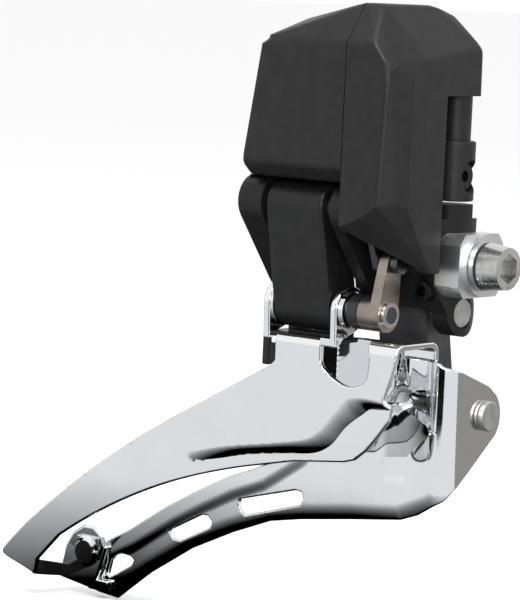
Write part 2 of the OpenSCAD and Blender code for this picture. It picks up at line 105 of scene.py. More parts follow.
def round_edges(obj, width, segments=3, angle=30):
    """Rounds every edge sharper than the angle."""
    bevel = obj.modifiers.new("round", "BEVEL")
    bevel.width = width * MM
    bevel.segments = segments
    bevel.limit_method = "ANGLE"
    bevel.angle_limit = math.radians(angle)
    bevel.use_clamp_overlap = True
    return obj


def smooth(obj, angle=38):
    """Smooth shading, with sharp edges kept and large faces flat."""
    obj.data.shade_smooth()
    obj.data.set_sharp_from_angle(angle=math.radians(angle))
    weighted = obj.modifiers.new("flat faces", "WEIGHTED_NORMAL")
    weighted.keep_sharp = True
    weighted.weight = 80
    return obj


def carve(obj, *cutters):
    """Cuts each cutter out of the object, and deletes the cutter."""
    for cutter in cutters:
        cut = obj.modifiers.new("cut", "BOOLEAN")
        cut.operation = "DIFFERENCE"
        cut.solver = "EXACT"
        cut.object = cutter
        applied(obj)
        old = cutter.data
        bpy.data.objects.remove(cutter)
        bpy.data.meshes.remove(old)
    return obj


def hull(name, points, radius, flat=4.0, segments=4, edge_radius=None):
    """A convex solid round the points, with round edges.

    Faces within flat degrees of each other become one, and edge_radius(middle, direction) gives an edge its
    own radius.
    """
    bm = bmesh.new()
    for p in points:
        bm.verts.new(p)
    made = bmesh.ops.convex_hull(bm, input=bm.verts)
    spare = made["geom_interior"] + made["geom_unused"]
    loose = {g for g in spare if isinstance(g, bmesh.types.BMVert)}
    bmesh.ops.delete(bm, geom=list(loose), context="VERTS")
    bmesh.ops.dissolve_limit(bm, angle_limit=math.radians(flat), verts=bm.verts, edges=bm.edges)
    radii = []
    for e in bm.edges:
        a, b = e.verts[0].co, e.verts[1].co
        own = edge_radius((a + b) / 2, (b - a).normalized()) if edge_radius else None
        radii.append(radius if own is None else own)
    obj = from_bmesh(name, bm)
    largest = max(radii)
    weight = obj.data.attributes.new("bevel_weight_edge", "FLOAT", "EDGE")
    for item, r in zip(weight.data, radii):
        item.value = r / largest
    bevel = obj.modifiers.new("round", "BEVEL")
    bevel.width = largest * MM
    bevel.segments = segments
    bevel.limit_method = "WEIGHT"
    bevel.use_clamp_overlap = True
    return applied(obj)


def box(name, a, b):
    """A plain box between two corners, for cutting."""
    points = [(x, y, z) for x in (a[0], b[0]) for y in (a[1], b[1]) for z in (a[2], b[2])]
    faces = [(0, 1, 3, 2), (4, 6, 7, 5), (0, 4, 5, 1), (2, 3, 7, 6), (0, 2, 6, 4), (1, 5, 7, 3)]
    return mesh_object(name, points, faces)


def prism(name, outline, axis, a, b):
    """An outline extruded along one axis; the outline's pairs are the other two, in order."""
    other = [i for i in range(3) if i != axis]
    bm = bmesh.new()
    rings = []
    for level in (a, b):
        ring = []
        for pair in outline:
            co = [0, 0, 0]
            co[axis] = level
            co[other[0]], co[other[1]] = pair
            ring.append(bm.verts.new(co))
        rings.append(ring)
    n = len(outline)
    bm.faces.new(rings[0])
    bm.faces.new(rings[1][::-1])
    for i in range(n):
        j = (i + 1) % n
        bm.faces.new((rings[0][i], rings[1][i], rings[1][j], rings[0][j]))
    return from_bmesh(name, bm)


def lathe(name, centre, axis, profile, sides=64):
    """A round solid from (place along the axis, radius) pairs, closed on the axis where the radius is 0."""
    other = [i for i in range(3) if i != axis]
    bm = bmesh.new()
    rings = []
    for along, r in profile:
        ring = []
        for k in range(1 if r == 0 else sides):
            t = 2 * math.pi * k / sides
            co = [0, 0, 0]
            co[axis] = along
            co[other[0]] = centre[0] + r * math.cos(t)
            co[other[1]] = centre[1] + r * math.sin(t)
            ring.append(bm.verts.new(co))
        rings.append(ring)
    for lower, upper in zip(rings, rings[1:]):
        for k in range(sides):
            j = (k + 1) % sides
            quad = [ring[i % len(ring)] for ring, i in ((lower, k), (lower, j), (upper, j), (upper, k))]
            quad = list(dict.fromkeys(quad))
            if len(quad) > 2:
                bm.faces.new(quad)
    return from_bmesh(name, bm)


def cylinder(centre, axis, a, b, radius, sides, name="cut"):
    """A plain round bar between two places on one axis; most are for cutting."""
    return lathe(name, centre, axis, [(a, 0), (a, radius), (b, radius), (b, 0)], sides)


def spaced(line, gap, closed=False):
    """Points along a line about a gap apart; its corners stay."""
    out = []
    for a, b in zip(line, np.roll(line, -1, axis=0) if closed else line[1:]):
        n = max(1, round(float(np.hypot(*(b - a))) / gap))
        out += [a + (b - a) * i / n for i in range(n)]
    return np.array(out if closed else [*out, line[-1]])


def inside(points, loops):
    """Which points lie inside the first loop and outside the others."""
    odd = np.zeros(len(points), bool)
    x, y = points[:, 0], points[:, 1]
    for loop in loops:
        for (ax, ay), (bx, by) in zip(loop, np.roll(loop, -1, axis=0)):
            if ay != by:
                odd ^= ((ay > y) != (by > y)) & (x < (bx - ax) * (y - ay) / (by - ay) + ax)
    return odd


def unit(rows):
    """Each row at length 1."""
    return rows / np.maximum(np.linalg.norm(rows, axis=1), 1e-9)[:, None]


def inward(loop):
    """Unit normals at a loop's points, to the left of the way round."""
    way = unit(np.roll(loop, -1, axis=0) - loop) + unit(loop - np.roll(loop, 1, axis=0))
    return unit(np.stack([-way[:, 1], way[:, 0]], 1))


ROW_STEP = 0.866  # distance between rows of the triangle grid, per gap
CLEARANCE = 0.62  # least distance from a grid point to an outline or crease, per gap


def flat_mesh(name, loops, folds, gap):
    """Points, triangles and rim sides of the first loop less the others; the folds are edges of the mesh."""
    edge = np.concatenate(loops)
    low, high = edge.min(0), edge.max(0)
    rows = np.arange(low[1], high[1], gap * ROW_STEP)
    columns = np.arange(low[0], high[0], gap)
    grid = np.array([(x + (k % 2) * gap / 2, y) for k, y in enumerate(rows) for x in columns])
    grid = grid[inside(grid, loops)]
    fixed = np.concatenate([edge, *folds])
    clear = [np.min(np.hypot(*(fixed - g).T)) > gap * CLEARANCE for g in grid]
    flat = np.concatenate([fixed, grid[np.array(clear)]])
    sides, fold_sides, start = [], [], 0
    for loop in loops:
        sides += [(start + i, start + (i + 1) % len(loop)) for i in range(len(loop))]
        start += len(loop)
    for line in folds:
        fold_sides += [(start + i, start + i + 1) for i in range(len(line) - 1)]
        start += len(line)
    cut = delaunay_2d_cdt([Vector(q) for q in flat], sides + fold_sides, [], 0, 1e-5)
    if len(cut[0]) != len(flat):
        raise ValueError(f"{name}: its outline crosses itself")
    tris = np.array(cut[2])
    return flat, tris[inside(flat[tris].mean(1), loops)], sides


def sheet(name, outline, place, holes=(), creases=(), thick=1.2, gap=0.7, rim=0.4):
    """Pressed sheet metal with round rims.

    The flat outline, less its holes, is carried by place(u, v) onto a curved middle surface, which may have
    a sharp fold along each line in creases.
    """
    loops = []
    for i, loop in enumerate([outline, *holes]):
        loop = spaced(np.array(loop, float), gap, closed=True)
        area = np.sum(loop[:, 0] * np.roll(loop[:, 1], -1) - np.roll(loop[:, 0], -1) * loop[:, 1])
        loops.append(loop if (area > 0) == (i == 0) else loop[::-1])
    folds = [spaced(np.array(line, float), gap) for line in creases]
    flat, tris, sides = flat_mesh(name, loops, folds, gap)

    def surface(uv, step=0.008):
        """Points of the middle surface and its unit normals there."""
        u, v = uv[:, 0], uv[:, 1]
        du = place(u + step, v) - place(u - step, v)
        dv = place(u, v + step) - place(u, v - step)
        return place(u, v), unit(np.cross(du, dv))

    edge = np.concatenate(loops)
    n_edge, half = len(edge), thick / 2
    lean = np.concatenate([inward(loop) for loop in loops])
    base, base_n = surface(edge)
    out_dir = base - surface(edge + lean * 0.05)[0]
    out_dir = unit(out_dir - base_n * np.sum(out_dir * base_n, 1)[:, None])
    points, normals = [], []
    core, core_n = surface(flat[n_edge:])
    for side in (1, -1):
        points.append(core + side * half * core_n)
        normals.append(side * core_n)

    # Rings of points round the rims, from the front face over the edge to the back
    ring_start = 2 * len(core)
    ring_turns = [90, 45, 0, 0, -45, -90]
    bands = len(ring_turns) - 1
    for k, degrees in enumerate(ring_turns):
        c, s = math.cos(math.radians(degrees)), math.sin(math.radians(degrees))
        side = 1 if k < len(ring_turns) / 2 else -1
        at, n = surface(edge + lean * rim * (1 - c))
        points.append(at + n * (side * (half - rim) + rim * s))
        normals.append(c * out_dir + s * n)
    coords, vertex_n = np.concatenate(points), np.concatenate(normals)

    # Front and back faces; a corner's normal is read just inside its triangle, so that creases stay sharp
    front_order = np.concatenate([np.arange(n_edge) + ring_start, np.arange(len(core))])
    back_order = np.concatenate([np.arange(n_edge) + ring_start + bands * n_edge,
                                 np.arange(len(core)) + len(core)])
    a, b, c = (coords[front_order[tris[:, k]]] for k in range(3))
    if np.sum(np.cross(b - a, c - a) * base_n[0], 1).mean() < 0:
        tris = tris[:, ::-1]
    middle = flat[tris].mean(1)
    corner_n = np.stack([surface(flat[tris[:, k]] * 0.9 + middle * 0.1)[1] for k in range(3)], 1)
    faces = front_order[tris].tolist() + back_order[tris][:, ::-1].tolist()
    loop_n = [corner_n.reshape(-1, 3), -corner_n[:, ::-1].reshape(-1, 3)]

    for k in range(bands):
        lower, upper = ring_start + k * n_edge, ring_start + (k + 1) * n_edge
        quads = np.array([(lower + i, lower + j, upper + j, upper + i) for i, j in sides])
        a, b, d = coords[quads[:, 0]], coords[quads[:, 1]], coords[quads[:, 3]]
        if np.sum(np.cross(b - a, d - a) * vertex_n[quads[:, 3]], 1).mean() < 0:
            quads = quads[:, ::-1]
        faces += quads.tolist()
        loop_n.append(vertex_n[quads.ravel()])
    obj = mesh_object(name, coords, faces)
    obj.data.shade_smooth()
    obj.data.normals_split_custom_set(np.concatenate(loop_n).tolist())
    return obj


# ---- lines and outlines -----------------------------------------------------


def distance(x, z, line):
    """Distance from points to a polyline."""
    best = np.full(np.shape(x), 1e9)
    for (ax, az), (bx, bz) in zip(line, line[1:]):
        dx, dz = bx - ax, bz - az
        t = np.clip(((x - ax) * dx + (z - az) * dz) / (dx * dx + dz * dz), 0, 1)
        best = np.minimum(best, np.hypot(x - ax - t * dx, z - az - t * dz))
    return best


def height(x, line):
    """Height at x of a line that runs towards +X."""
    return np.interp(x, *zip(*line))


def curve(points, n=6):
    """A smooth line through the points."""
    p = np.array([points[0], *points, points[-1]], float)
    out = []
    for a, b, c, d in zip(p, p[1:], p[2:], p[3:]):
        for t in np.arange(n) / n:
            out.append(0.5 * (2 * b + (c - a) * t + (2 * a - 5 * b + 4 * c - d) * t ** 2
                              + (3 * b - a - 3 * c + d) * t ** 3))
    return [tuple(q) for q in out] + [tuple(points[-1])]


def ramp(value, low, high):
    """0 below low, 1 above high, smooth between."""
    t = np.clip((value - low) / (high - low), 0, 1)
    return t * t * (3 - 2 * t)


def arc3(a, b, c, n=8):
    """Points on the arc from a through b to c."""
    (ax, ay), (bx, by), (cx, cy) = a, b, c
    sa, sb, sc = ax * ax + ay * ay, bx * bx + by * by, cx * cx + cy * cy
    d = 2 * (ax * (by - cy) + bx * (cy - ay) + cx * (ay - by))
    ox = (sa * (by - cy) + sb * (cy - ay) + sc * (ay - by)) / d
    oy = (sa * (cx - bx) + sb * (ax - cx) + sc * (bx - ax)) / d
    r = math.hypot(ax - ox, ay - oy)
    way = [math.atan2(y - oy, x - ox) for x, y in (a, b, c)]
    for i in (1, 2):
        while way[i] - way[i - 1] > math.pi:
            way[i] -= 2 * math.pi
        while way[i] - way[i - 1] < -math.pi:
            way[i] += 2 * math.pi
    turns = [way[0] + (way[2] - way[0]) * i / n for i in range(n + 1)]
    return [(ox + r * math.cos(t), oy + r * math.sin(t)) for t in turns]


def circle(centre, r, n=32, start=0.0, turn=360.0):
    """Points round a circle, or along part of it."""
    full = abs(turn) >= 360
    return [
        (centre[0] + r * math.cos(math.radians(start + turn * i / n)),
         centre[1] + r * math.sin(math.radians(start + turn * i / n)))
        for i in range(n if full else n + 1)
    ]


def belt(a, ra, b, rb, n=24):
    """Outline of a bar with a round end at each of two points."""
    d = (b[0] - a[0], b[1] - a[1])
    way = math.degrees(math.atan2(d[1], d[0]))
    k = math.degrees(math.acos((ra - rb) / math.hypot(*d)))
    return circle(a, ra, n, way + k, 360 - 2 * k) + circle(b, rb, n, way - k, 2 * k)


# ---- materials --------------------------------------------------------------


BROAD = 9  # size of the broad noise, in grains
NOISE_SPAN = (0.3, 0.7)  # where nearly all of a noise's values lie


def material(name, colour, rough, metallic=0.0, vary=0.25, grain=0.4, bump=0.1, depth=0.02,
             rough_vary=0.08, specular=0.5, stretch=(1, 1, 1)):
    """A node material: a broad noise varies its colour, and a fine one its roughness and its bumps.

    The grain and the bumps' depth are in millimetres.
    """
    mat = bpy.data.materials.new(name)
    mat.use_nodes = True
    nodes, links = mat.node_tree.nodes, mat.node_tree.links
    shader = nodes["Principled BSDF"]
    shader.inputs["Metallic"].default_value = metallic
    shader.inputs["Specular IOR Level"].default_value = specular
    place = nodes.new("ShaderNodeTexCoord")
    mapping = nodes.new("ShaderNodeMapping")
    mapping.inputs["Scale"].default_value = stretch
    links.new(place.outputs["Object"], mapping.inputs["Vector"])

    def noise(size, detail):
        node = nodes.new("ShaderNodeTexNoise")
        node.inputs["Scale"].default_value = 1 / (size * MM)
        node.inputs["Detail"].default_value = detail
        links.new(mapping.outputs["Vector"], node.inputs["Vector"])
        return node.outputs["Fac"]

    def spread(source, low, high):
        node = nodes.new("ShaderNodeMapRange")
        node.inputs["From Min"].default_value, node.inputs["From Max"].default_value = NOISE_SPAN
        node.inputs["To Min"].default_value = low
        node.inputs["To Max"].default_value = high
        links.new(source, node.inputs["Value"])
        return node.outputs["Result"]

    broad = noise(grain * BROAD, 4)
    fine = noise(grain, 3)
    mix = nodes.new("ShaderNodeMix")
    mix.data_type = "RGBA"
    mix.inputs["A"].default_value = (*[c * (1 - vary) for c in colour], 1)
    mix.inputs["B"].default_value = (*[min(1, c * (1 + vary)) for c in colour], 1)
    links.new(spread(broad, 0, 1), mix.inputs["Factor"])
    links.new(mix.outputs["Result"], shader.inputs["Base Color"])
    links.new(spread(fine, max(0.01, rough - rough_vary), rough + rough_vary), shader.inputs["Roughness"])
    normal = nodes.new("ShaderNodeBump")
    normal.inputs["Strength"].default_value = bump
    normal.inputs["Distance"].default_value = depth * MM
    links.new(fine, normal.inputs["Height"])
    links.new(normal.outputs["Normal"], shader.inputs["Normal"])
    return mat


MATS = {
    "case_plastic": material("moulded black", (0.008, 0.008, 0.0085), 0.46, grain=0.32, bump=0.55,
                             depth=0.03, specular=0.3),
    "bracket_black": material("painted black", (0.006, 0.006, 0.0065), 0.4, grain=0.5, bump=0.35,
                              depth=0.02, specular=0.25),
    "link_black": material("satin black", (0.007, 0.007, 0.0075), 0.36, grain=0.25, bump=0.15,
                           depth=0.01, specular=0.28),
    "link_cast": material("cast dark alloy", (0.07, 0.07, 0.073), 0.5, metallic=0.7, grain=0.5, bump=0.5,
                          depth=0.05),
    "cage_chrome": material("bright plated steel", (0.86, 0.87, 0.88), 0.055, metallic=1, vary=0.02,
                            grain=0.8, bump=0.03, depth=0.004, rough_vary=0.015),
    "washer_alloy": material("blasted alloy", (0.66, 0.67, 0.68), 0.36, metallic=1, vary=0.06, grain=0.3,
                             bump=0.4, depth=0.025),
    "bolt_steel": material("turned steel", (0.62, 0.62, 0.61), 0.24, metallic=1, vary=0.08, grain=0.25,
                           bump=0.05, depth=0.006, stretch=(1, 0.08, 0.08)),
    "pin_steel": material("polished steel", (0.7, 0.7, 0.7), 0.16, metallic=1, vary=0.08, grain=0.4,
                          bump=0.12, depth=0.01),
    "pin_blasted": material("blasted steel", (0.48, 0.48, 0.47), 0.42, metallic=1, vary=0.18, grain=0.28,
                            bump=0.6, depth=0.04),
    "dark_steel": material("dark steel", (0.12, 0.12, 0.125), 0.34, metallic=1, vary=0.15, grain=0.3,
                           bump=0.2, depth=0.01),
    "rod_steel": material("warm steel", (0.33, 0.29, 0.25), 0.33, metallic=1, vary=0.2, grain=0.4,
                          bump=0.25, depth=0.015),
    "spring_steel": material("spring steel", (0.3, 0.3, 0.31), 0.25, metallic=1, vary=0.1, grain=0.3,
                             bump=0.1, depth=0.01),
    # paints blackened steel parts, and also the rear fold, its corner and the shelf under the outer link
    # near black, as painted shade and painted dark reflection
    "black_steel": material("blackened steel and painted shade", (0.03, 0.03, 0.031), 0.32, metallic=0.9, vary=0.2, grain=0.3,
                            bump=0.2, depth=0.01),
    "rivet_black": material("black rivet", (0.02, 0.02, 0.021), 0.28, metallic=0.8, vary=0.2, grain=0.3,
                            bump=0.15, depth=0.01),
    "motor_steel": material("drawn steel", (0.5, 0.51, 0.52), 0.3, metallic=1, vary=0.05, grain=0.3,
                            bump=0.1, depth=0.01, stretch=(0.2, 1, 1)),
    "bronze": material("sintered bronze", (0.5, 0.34, 0.16), 0.38, metallic=1, vary=0.15, grain=0.2,
                       bump=0.3, depth=0.02),
    "rubber": material("black rubber", (0.015, 0.015, 0.015), 0.62, grain=0.3, bump=0.25, depth=0.02,
                       specular=0.3),
    "spacer_black": material("black nylon", (0.012, 0.012, 0.012), 0.35, grain=0.3, bump=0.1, depth=0.01),
    "socket_plastic": material("black socket plastic", (0.014, 0.014, 0.014), 0.4, grain=0.3, bump=0.2,
                               depth=0.015),
    "board_green": material("board lacquer", (0.01, 0.09, 0.04), 0.3, grain=0.8, bump=0.2, depth=0.02),
}

# ---- placing pieces ---------------------------------------------------------

SLOT = {part["node"]: part["material_slot"] for part in frame["record"]["subparts"]}


def finish_piece(obj, body, slot, nodes=(), mat=None):
    """Gives a new piece its material and its body, and hides the CAD nodes that it stands for."""
    obj.data.materials.clear()
    obj.data.materials.append(MATS[mat or slot])
    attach(obj, body)
    if nodes:
        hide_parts(*nodes)
    return obj


def dress_node(name, width=0.2, mat=None):
    """Rounds and paints a CAD node that stays."""
    obj = frame["nodes"][name]
    obj.data.materials.clear()
    obj.data.materials.append(MATS[mat or SLOT[name]])
    if width:
        round_edges(obj, width, segments=2, angle=28)
    smooth(obj, 30)


# ---- camera, floor and light ------------------------------------------------

AZIMUTH, ELEVATION, ROLL = math.radians(40), math.radians(6), math.radians(2.6)
DISTANCE = 570
AIM = (-38.25, -14.37, -10.0)
FOCAL, SENSOR = 176.13, 36
NEAREST = 10
FLOOR_GAP = 0.4

COOL_GLOW, WARM_GREY, NEARLY_BLACK = (0.8, 0.82, 0.84), (0.3, 0.285, 0.27), (0.004, 0.004, 0.004)
FADE_STRETCH = (0.62, 1, 1)  # the floor's dark middle is longer along X

back = Vector((math.sin(AZIMUTH) * math.cos(ELEVATION), -math.cos(AZIMUTH) * math.cos(ELEVATION),
               math.sin(ELEVATION)))
level = Vector((math.cos(AZIMUTH), math.sin(AZIMUTH), 0))
plumb = back.cross(level)
right = math.cos(ROLL) * level + math.sin(ROLL) * plumb
up = math.cos(ROLL) * plumb - math.sin(ROLL) * level

camera_data = bpy.data.cameras.new("camera")
camera_data.sensor_fit = "VERTICAL"
camera_data.sensor_height = SENSOR
camera_data.lens = FOCAL
camera_data.clip_start = NEAREST * MM
camera = linked("camera", camera_data)
turn = Matrix((right, up, back)).transposed().to_4x4()
camera.matrix_world = Matrix.Translation((Vector(AIM) + back * DISTANCE) * MM) @ turn
scene.camera = camera

floor_z = cad_box[0].z / MM - FLOOR_GAP


def facing(centre, normal):
    """The placing of something at centre whose own Z points along the normal."""
    turned = Vector(normal).to_track_quat("Z", "Y").to_matrix().to_4x4()
    return Matrix.Translation(Vector(centre) * MM) @ turned


def stage_sheet(name, centre, normal, size, glow=(0, 0, 0), fade=None, seen=False):
    """A flat card round the object that glows a little.

    Where fade is set, the card darkens to its middle, from the second radius to the first. The camera sees
    only its reflection unless seen is set, and then it is a plain white surface that doesn't glow.
    """
    w, h = size[0] / 2, size[1] / 2
    card = mesh_object(name, [(-w, -h, 0), (w, -h, 0), (w, h, 0), (-w, h, 0)], [(0, 1, 2, 3)])
    card.matrix_world = facing(centre, normal)
    mat = bpy.data.materials.new(name)
    mat.use_nodes = True
    nodes, links = mat.node_tree.nodes, mat.node_tree.links
    shader = nodes["Principled BSDF"]
    white = 0.95 if seen else 0.0
    shader.inputs["Base Color"].default_value = (white, white, white, 1)
    shader.inputs["Roughness"].default_value = 0.9
    shader.inputs["Specular IOR Level"].default_value = 0.0
    shader.inputs["Emission Color"].default_value = (*glow, 1)
    shader.inputs["Emission Strength"].default_value = 0.0 if seen else 1.0
    if fade:
        place = nodes.new("ShaderNodeTexCoord")
        squash = nodes.new("ShaderNodeVectorMath")
        squash.operation = "MULTIPLY"
        squash.inputs[1].default_value = FADE_STRETCH
        length = nodes.new("ShaderNodeVectorMath")
        length.operation = "LENGTH"
        span = nodes.new("ShaderNodeMapRange")
        span.inputs["From Min"].default_value = fade[0] * MM
        span.inputs["From Max"].default_value = fade[1] * MM
        links.new(place.outputs["Object"], squash.inputs[0])
        links.new(squash.outputs[0], length.inputs[0])
        links.new(length.outputs["Value"], span.inputs["Value"])
        links.new(span.outputs["Result"], shader.inputs["Emission Strength"])
    card.data.materials.append(mat)
    if not seen:
        card.visible_camera = False
        card.visible_diffuse = False
        card.visible_shadow = False
        card.visible_transmission = False
    return card


def soft_light(name, centre, aim, size, power):
    """A square soft white light; the power is in watts."""
    data = bpy.data.lights.new(name, "AREA")
    data.size = size * MM
    data.energy = power
    lamp = linked(name, data)
    lamp.matrix_world = facing(centre, Vector(centre) - Vector(aim))
    return lamp


scene.view_settings.view_transform = "Standard"
world = bpy.data.worlds.new("studio")
world.use_nodes = True
world.node_tree.nodes["Background"].inputs["Color"].default_value = (1, 1, 1, 1)
world.node_tree.nodes["Background"].inputs["Strength"].default_value = 1.0
scene.world = world
stage_sheet("floor", (0, 0, floor_z), (0, 0, 1), (60000, 60000), seen=True)
stage_sheet("floor glow", (-50, -5, floor_z + 0.2), (0, 0, 1), (1800, 1800), COOL_GLOW, fade=(34, 160))
stage_sheet("dark card front", (30, -300, floor_z + 100), (0, 1, 0), (200, 199), NEARLY_BLACK)
stage_sheet("dark card left", (-300, 40, floor_z + 100), (1, 0, 0), (170, 199), NEARLY_BLACK)
stage_sheet("grey card behind", (420, 480, floor_z + 0.4), (0, 0, 1), (700, 780), WARM_GREY)
soft_light("key light", (250, -350, 700), (0, 0, 0), 400, 6)
soft_light("crease light", (330, -420, 130), (0, 0, 10), 120, 0.9)

# ---- housing ----------------------------------------------------------------

# Pivots as (y, z): every pin lies along X
UPPER_PIN, LOWER_PIN, CAGE_PIN = (-18.5, 9.9), (-14.8, -9.6), (4.1, -28.9)
SHAFT = (-17.25, 12.5)

SEAM_X, FRONT_X = -11, 1
CASE_X, COVER_X = SEAM_X + 0.1, SEAM_X - 0.1
SIDE_Y, INBOARD_Y, NOTCH_Y = -25.5, 1.5, -9.6
ROOF_Z, COVER_FLOOR, CASE_FOOT, NOTCH_TOP = 48.4, 14.8, -1.3, 31.8
GABLE = [(INBOARD_Y, 41), (-1, 46.3), (-7, ROOF_Z), (-20.4, ROOF_Z), (SIDE_Y, 41)]
CRISP = 0.25  # radius of the edges at the seam

COVER_ROUND, COVER_CORNER = 1.3, 2.4
COVER = (
    [(COVER_X, SIDE_Y, 17.7), (COVER_X, -22.6, COVER_FLOOR), (COVER_X, INBOARD_Y, COVER_FLOOR)]
    + [(COVER_X, y, z) for y, z in GABLE]
    + [(-35.7, SIDE_Y, 17.7), (-35.3, -22.6, COVER_FLOOR), (-34.5, INBOARD_Y, COVER_FLOOR),
       (-31.6, INBOARD_Y, 40.5), (-30.5, -1, 43.5), (-31.9, SIDE_Y, 40.7), (-31.3, -15.5, 41.5),
       (-28.3, -15.5, 45), (-28.3, -6, 45)]
)
COVER_ROOM = [
    (-11, -23.6, 18.4), (-11, -21.8, 16.6), (-11, -0.4, 16.6), (-11, -0.4, 40), (-11, -2.4, 45),
    (-11, -8, 46.6), (-11, -19.6, 46.6), (-11, -23.6, 40.3), (-33.6, -23.6, 18.4), (-33.4, -21.8, 16.6),
    (-32.8, -0.4, 16.6), (-30, -0.4, 39.5), (-29, -2.4, 42), (-30.2, -23.6, 39.6), (-29.8, -15.5, 40.5),
    (-27.5, -15, 43), (-27.5, -8, 43),
]
COVER_SCREWS = ((-23, 18.6), (-20.3, 39), (-2.2, 19.5))
HEAD_R, SHANK_R, HEAD_DEPTH = 2.1, 1.05, 1.7
PORT, PORT_R = (-9, 23), 2.8  # opening round the wire socket


def cover_edge(mid, way):
    """The cover's joint stays crisp and its rear upright corner is the roundest."""
    if mid.x > SEAM_X - 0.5:
        return CRISP
    if mid.y < -24 and mid.x < -33 and abs(way.z) > 0.9:
        return COVER_CORNER
    return COVER_ROUND


def rear_face(z):
    """X of the cover's rear face, which leans forward with height."""
    return -36 + (z - COVER_FLOOR) * 4.2 / 26


cover = hull("rear_cover_shell", COVER, COVER_ROUND, flat=5, edge_radius=cover_edge)
carve(cover, hull("cover room", COVER_ROOM, 0.4, segments=1))
for screw in COVER_SCREWS:
    carve(cover, cylinder(screw, X, -40, rear_face(screw[1]) + HEAD_DEPTH, HEAD_R, 32),
          cylinder(screw, X, -38, -11.3, SHANK_R, 24))
carve(cover, cylinder(PORT, X, -40, -30, PORT_R, 40))
finish_piece(smooth(cover), "base", "case_plastic", ["rear_cover"])

CASE_ROUND, CASE_SKIRT_ROUND, CASE_CREASE_ROUND = 1.4, 0.5, 0.7
SKIRT_EDGE = [(CASE_X, SIDE_Y, 7), (-8, SIDE_Y, 7.9), (-5, SIDE_Y, 9.5), (-2.3, SIDE_Y, 11.5),
              (0.3, -22, 12), (FRONT_X, -20.4, 10.9)]
SKIRT_FOOT = [(FRONT_X, -12.4, CASE_FOOT), (FRONT_X, INBOARD_Y, CASE_FOOT), (CASE_X, INBOARD_Y, CASE_FOOT),
              (CASE_X, -12.4, CASE_FOOT), (CASE_X, -24.7, 6.6)]
FRONT_TOP = [(FRONT_X, -20.4, 35.4), (FRONT_X, -16.4, 38.5), (FRONT_X, -3.8, 40.1), (0.9, 0.6, 41),
             (0.4, INBOARD_Y, 40)]
ROOF_EDGE = [(-7.5, -19.5, 48.2), (-6, -5.7, ROOF_Z), (-4.6, -1, 46.6), (-4.5, SIDE_Y, 41),
             (-1.2, SIDE_Y, 37)]
CASE = SKIRT_EDGE + SKIRT_FOOT + FRONT_TOP + [(CASE_X, y, z) for y, z in GABLE] + ROOF_EDGE

# What is cut out of the case: the notch at its inboard side, the hollow where the arm and the rod swing, the
# rooms for the motor, and the narrow pocket for the sector gear and the pinion behind the front wall
NOTCH = (((-14, NOTCH_Y, -20), (4, 4, 14.85)), ((-7, NOTCH_Y, -20), (4, 4, NOTCH_TOP)),
         ((-9.5, -5.3, -13), (-6.9, 4, 19.7)))
ARM_ROOM = ((-12, -23.7, 8), (-4.5, -10.8, 16.6))
ARM_ROOM_LOW = [(-12, -24.7), (-11, -24.7), (-4.7, -18), (-0.8, -13.9), (-0.8, -10.8), (-12, -10.8)]
MOTOR_ROOMS = (((-14, -23.6, 18.3), (-3.6, -11.4, 38.2)), ((-14, -20, 39), (-7.5, -8, 46.5)),
               ((-14, -12, 21.4), (-8.8, -0.4, 40)))
POCKET = (-3.1, -0.8)
GEAR_POCKET = (((POCKET[0], -22.9, 13.9), (POCKET[1], -11, 20.2)),
               ((POCKET[0], -20.95, 13.9), (POCKET[1], -13.55, 26.2)))
SHAFT_BORE = [(-5, 0), (-5, 2.5), (POCKET[0], 2.5), (POCKET[0], 3.1), (POCKET[1], 3.1), (POCKET[1], 1.6),
              (0.1, 1.6), (0.1, 0)]


def case_edge(mid, way):
    """The case's joint stays crisp, its front crease is tight and its roof soft."""
    if mid.x < SEAM_X + 0.5:
        return CRISP
    if mid.z < 12.4:
        return CASE_SKIRT_ROUND
    if abs(way.z) > 0.9 and mid.x > 0.5:
        return CASE_CREASE_ROUND
    return CASE_ROUND


case = hull("motor_case_shell", CASE, CASE_ROUND, flat=3, edge_radius=case_edge)
carve(case, *[box("cut", a, b) for a, b in (*NOTCH, ARM_ROOM)])
carve(case, prism("cut", ARM_ROOM_LOW, Z, -14, 8.1))
carve(case, *[box("cut", a, b) for a, b in MOTOR_ROOMS + GEAR_POCKET])
carve(case, lathe("cut", SHAFT, X, SHAFT_BORE, 40))
round_edges(case, 0.3, 2, 25)
finish_piece(smooth(case), "base", "case_plastic", ["motor_case"])

# The block in the notch with its recessed screw, and the upright bar above it
BAR, BAR_R, BLOCK_R = (-3, -1.2), 2.9, 4
BLOCK_Z = (11.9, 23.3)
BLOCK_PLAN = [(-7.2, -5.2), (-7.2, INBOARD_Y)] + circle(BAR, BLOCK_R, 16, -115, 200)
SCREW = (-0.4, 16.6)
SCREW_HOLE = [(-8, 0), (-8, 1.25), (-2.2, 1.25), (-2.2, 3.2), (4, 3.2), (4, 0)]

block = hull("case_screw_block", [(x, y, z) for z in BLOCK_Z for x, y in BLOCK_PLAN], 0.5)
carve(block, lathe("cut", SCREW, X, SCREW_HOLE, 48))
round_edges(block, 0.25, 2)
finish_piece(smooth(applied(block)), "base", "case_plastic")
bar = cylinder(BAR, Z, 22, 32, BAR_R, 48, "case_upright_bar")
finish_piece(smooth(bar), "base", "case_plastic")

# ---- outer link -------------------------------------------------------------

LINK_X, LINK_R, BUSH_R = (-31, -17.2), 4.4, 2.5

link = prism("outer_link_body", belt(UPPER_PIN, LINK_R, LOWER_PIN, LINK_R, 40), X, *LINK_X)
applied(round_edges(link, 0.75, 4, 50))
carve(link, *[cylinder(p, X, -33, -15, BUSH_R, 48) for p in (UPPER_PIN, LOWER_PIN)])
finish_piece(smooth(link), "outer_link", "link_black", ["outer_link"])

# ---- outer cage plate -------------------------------------------------------

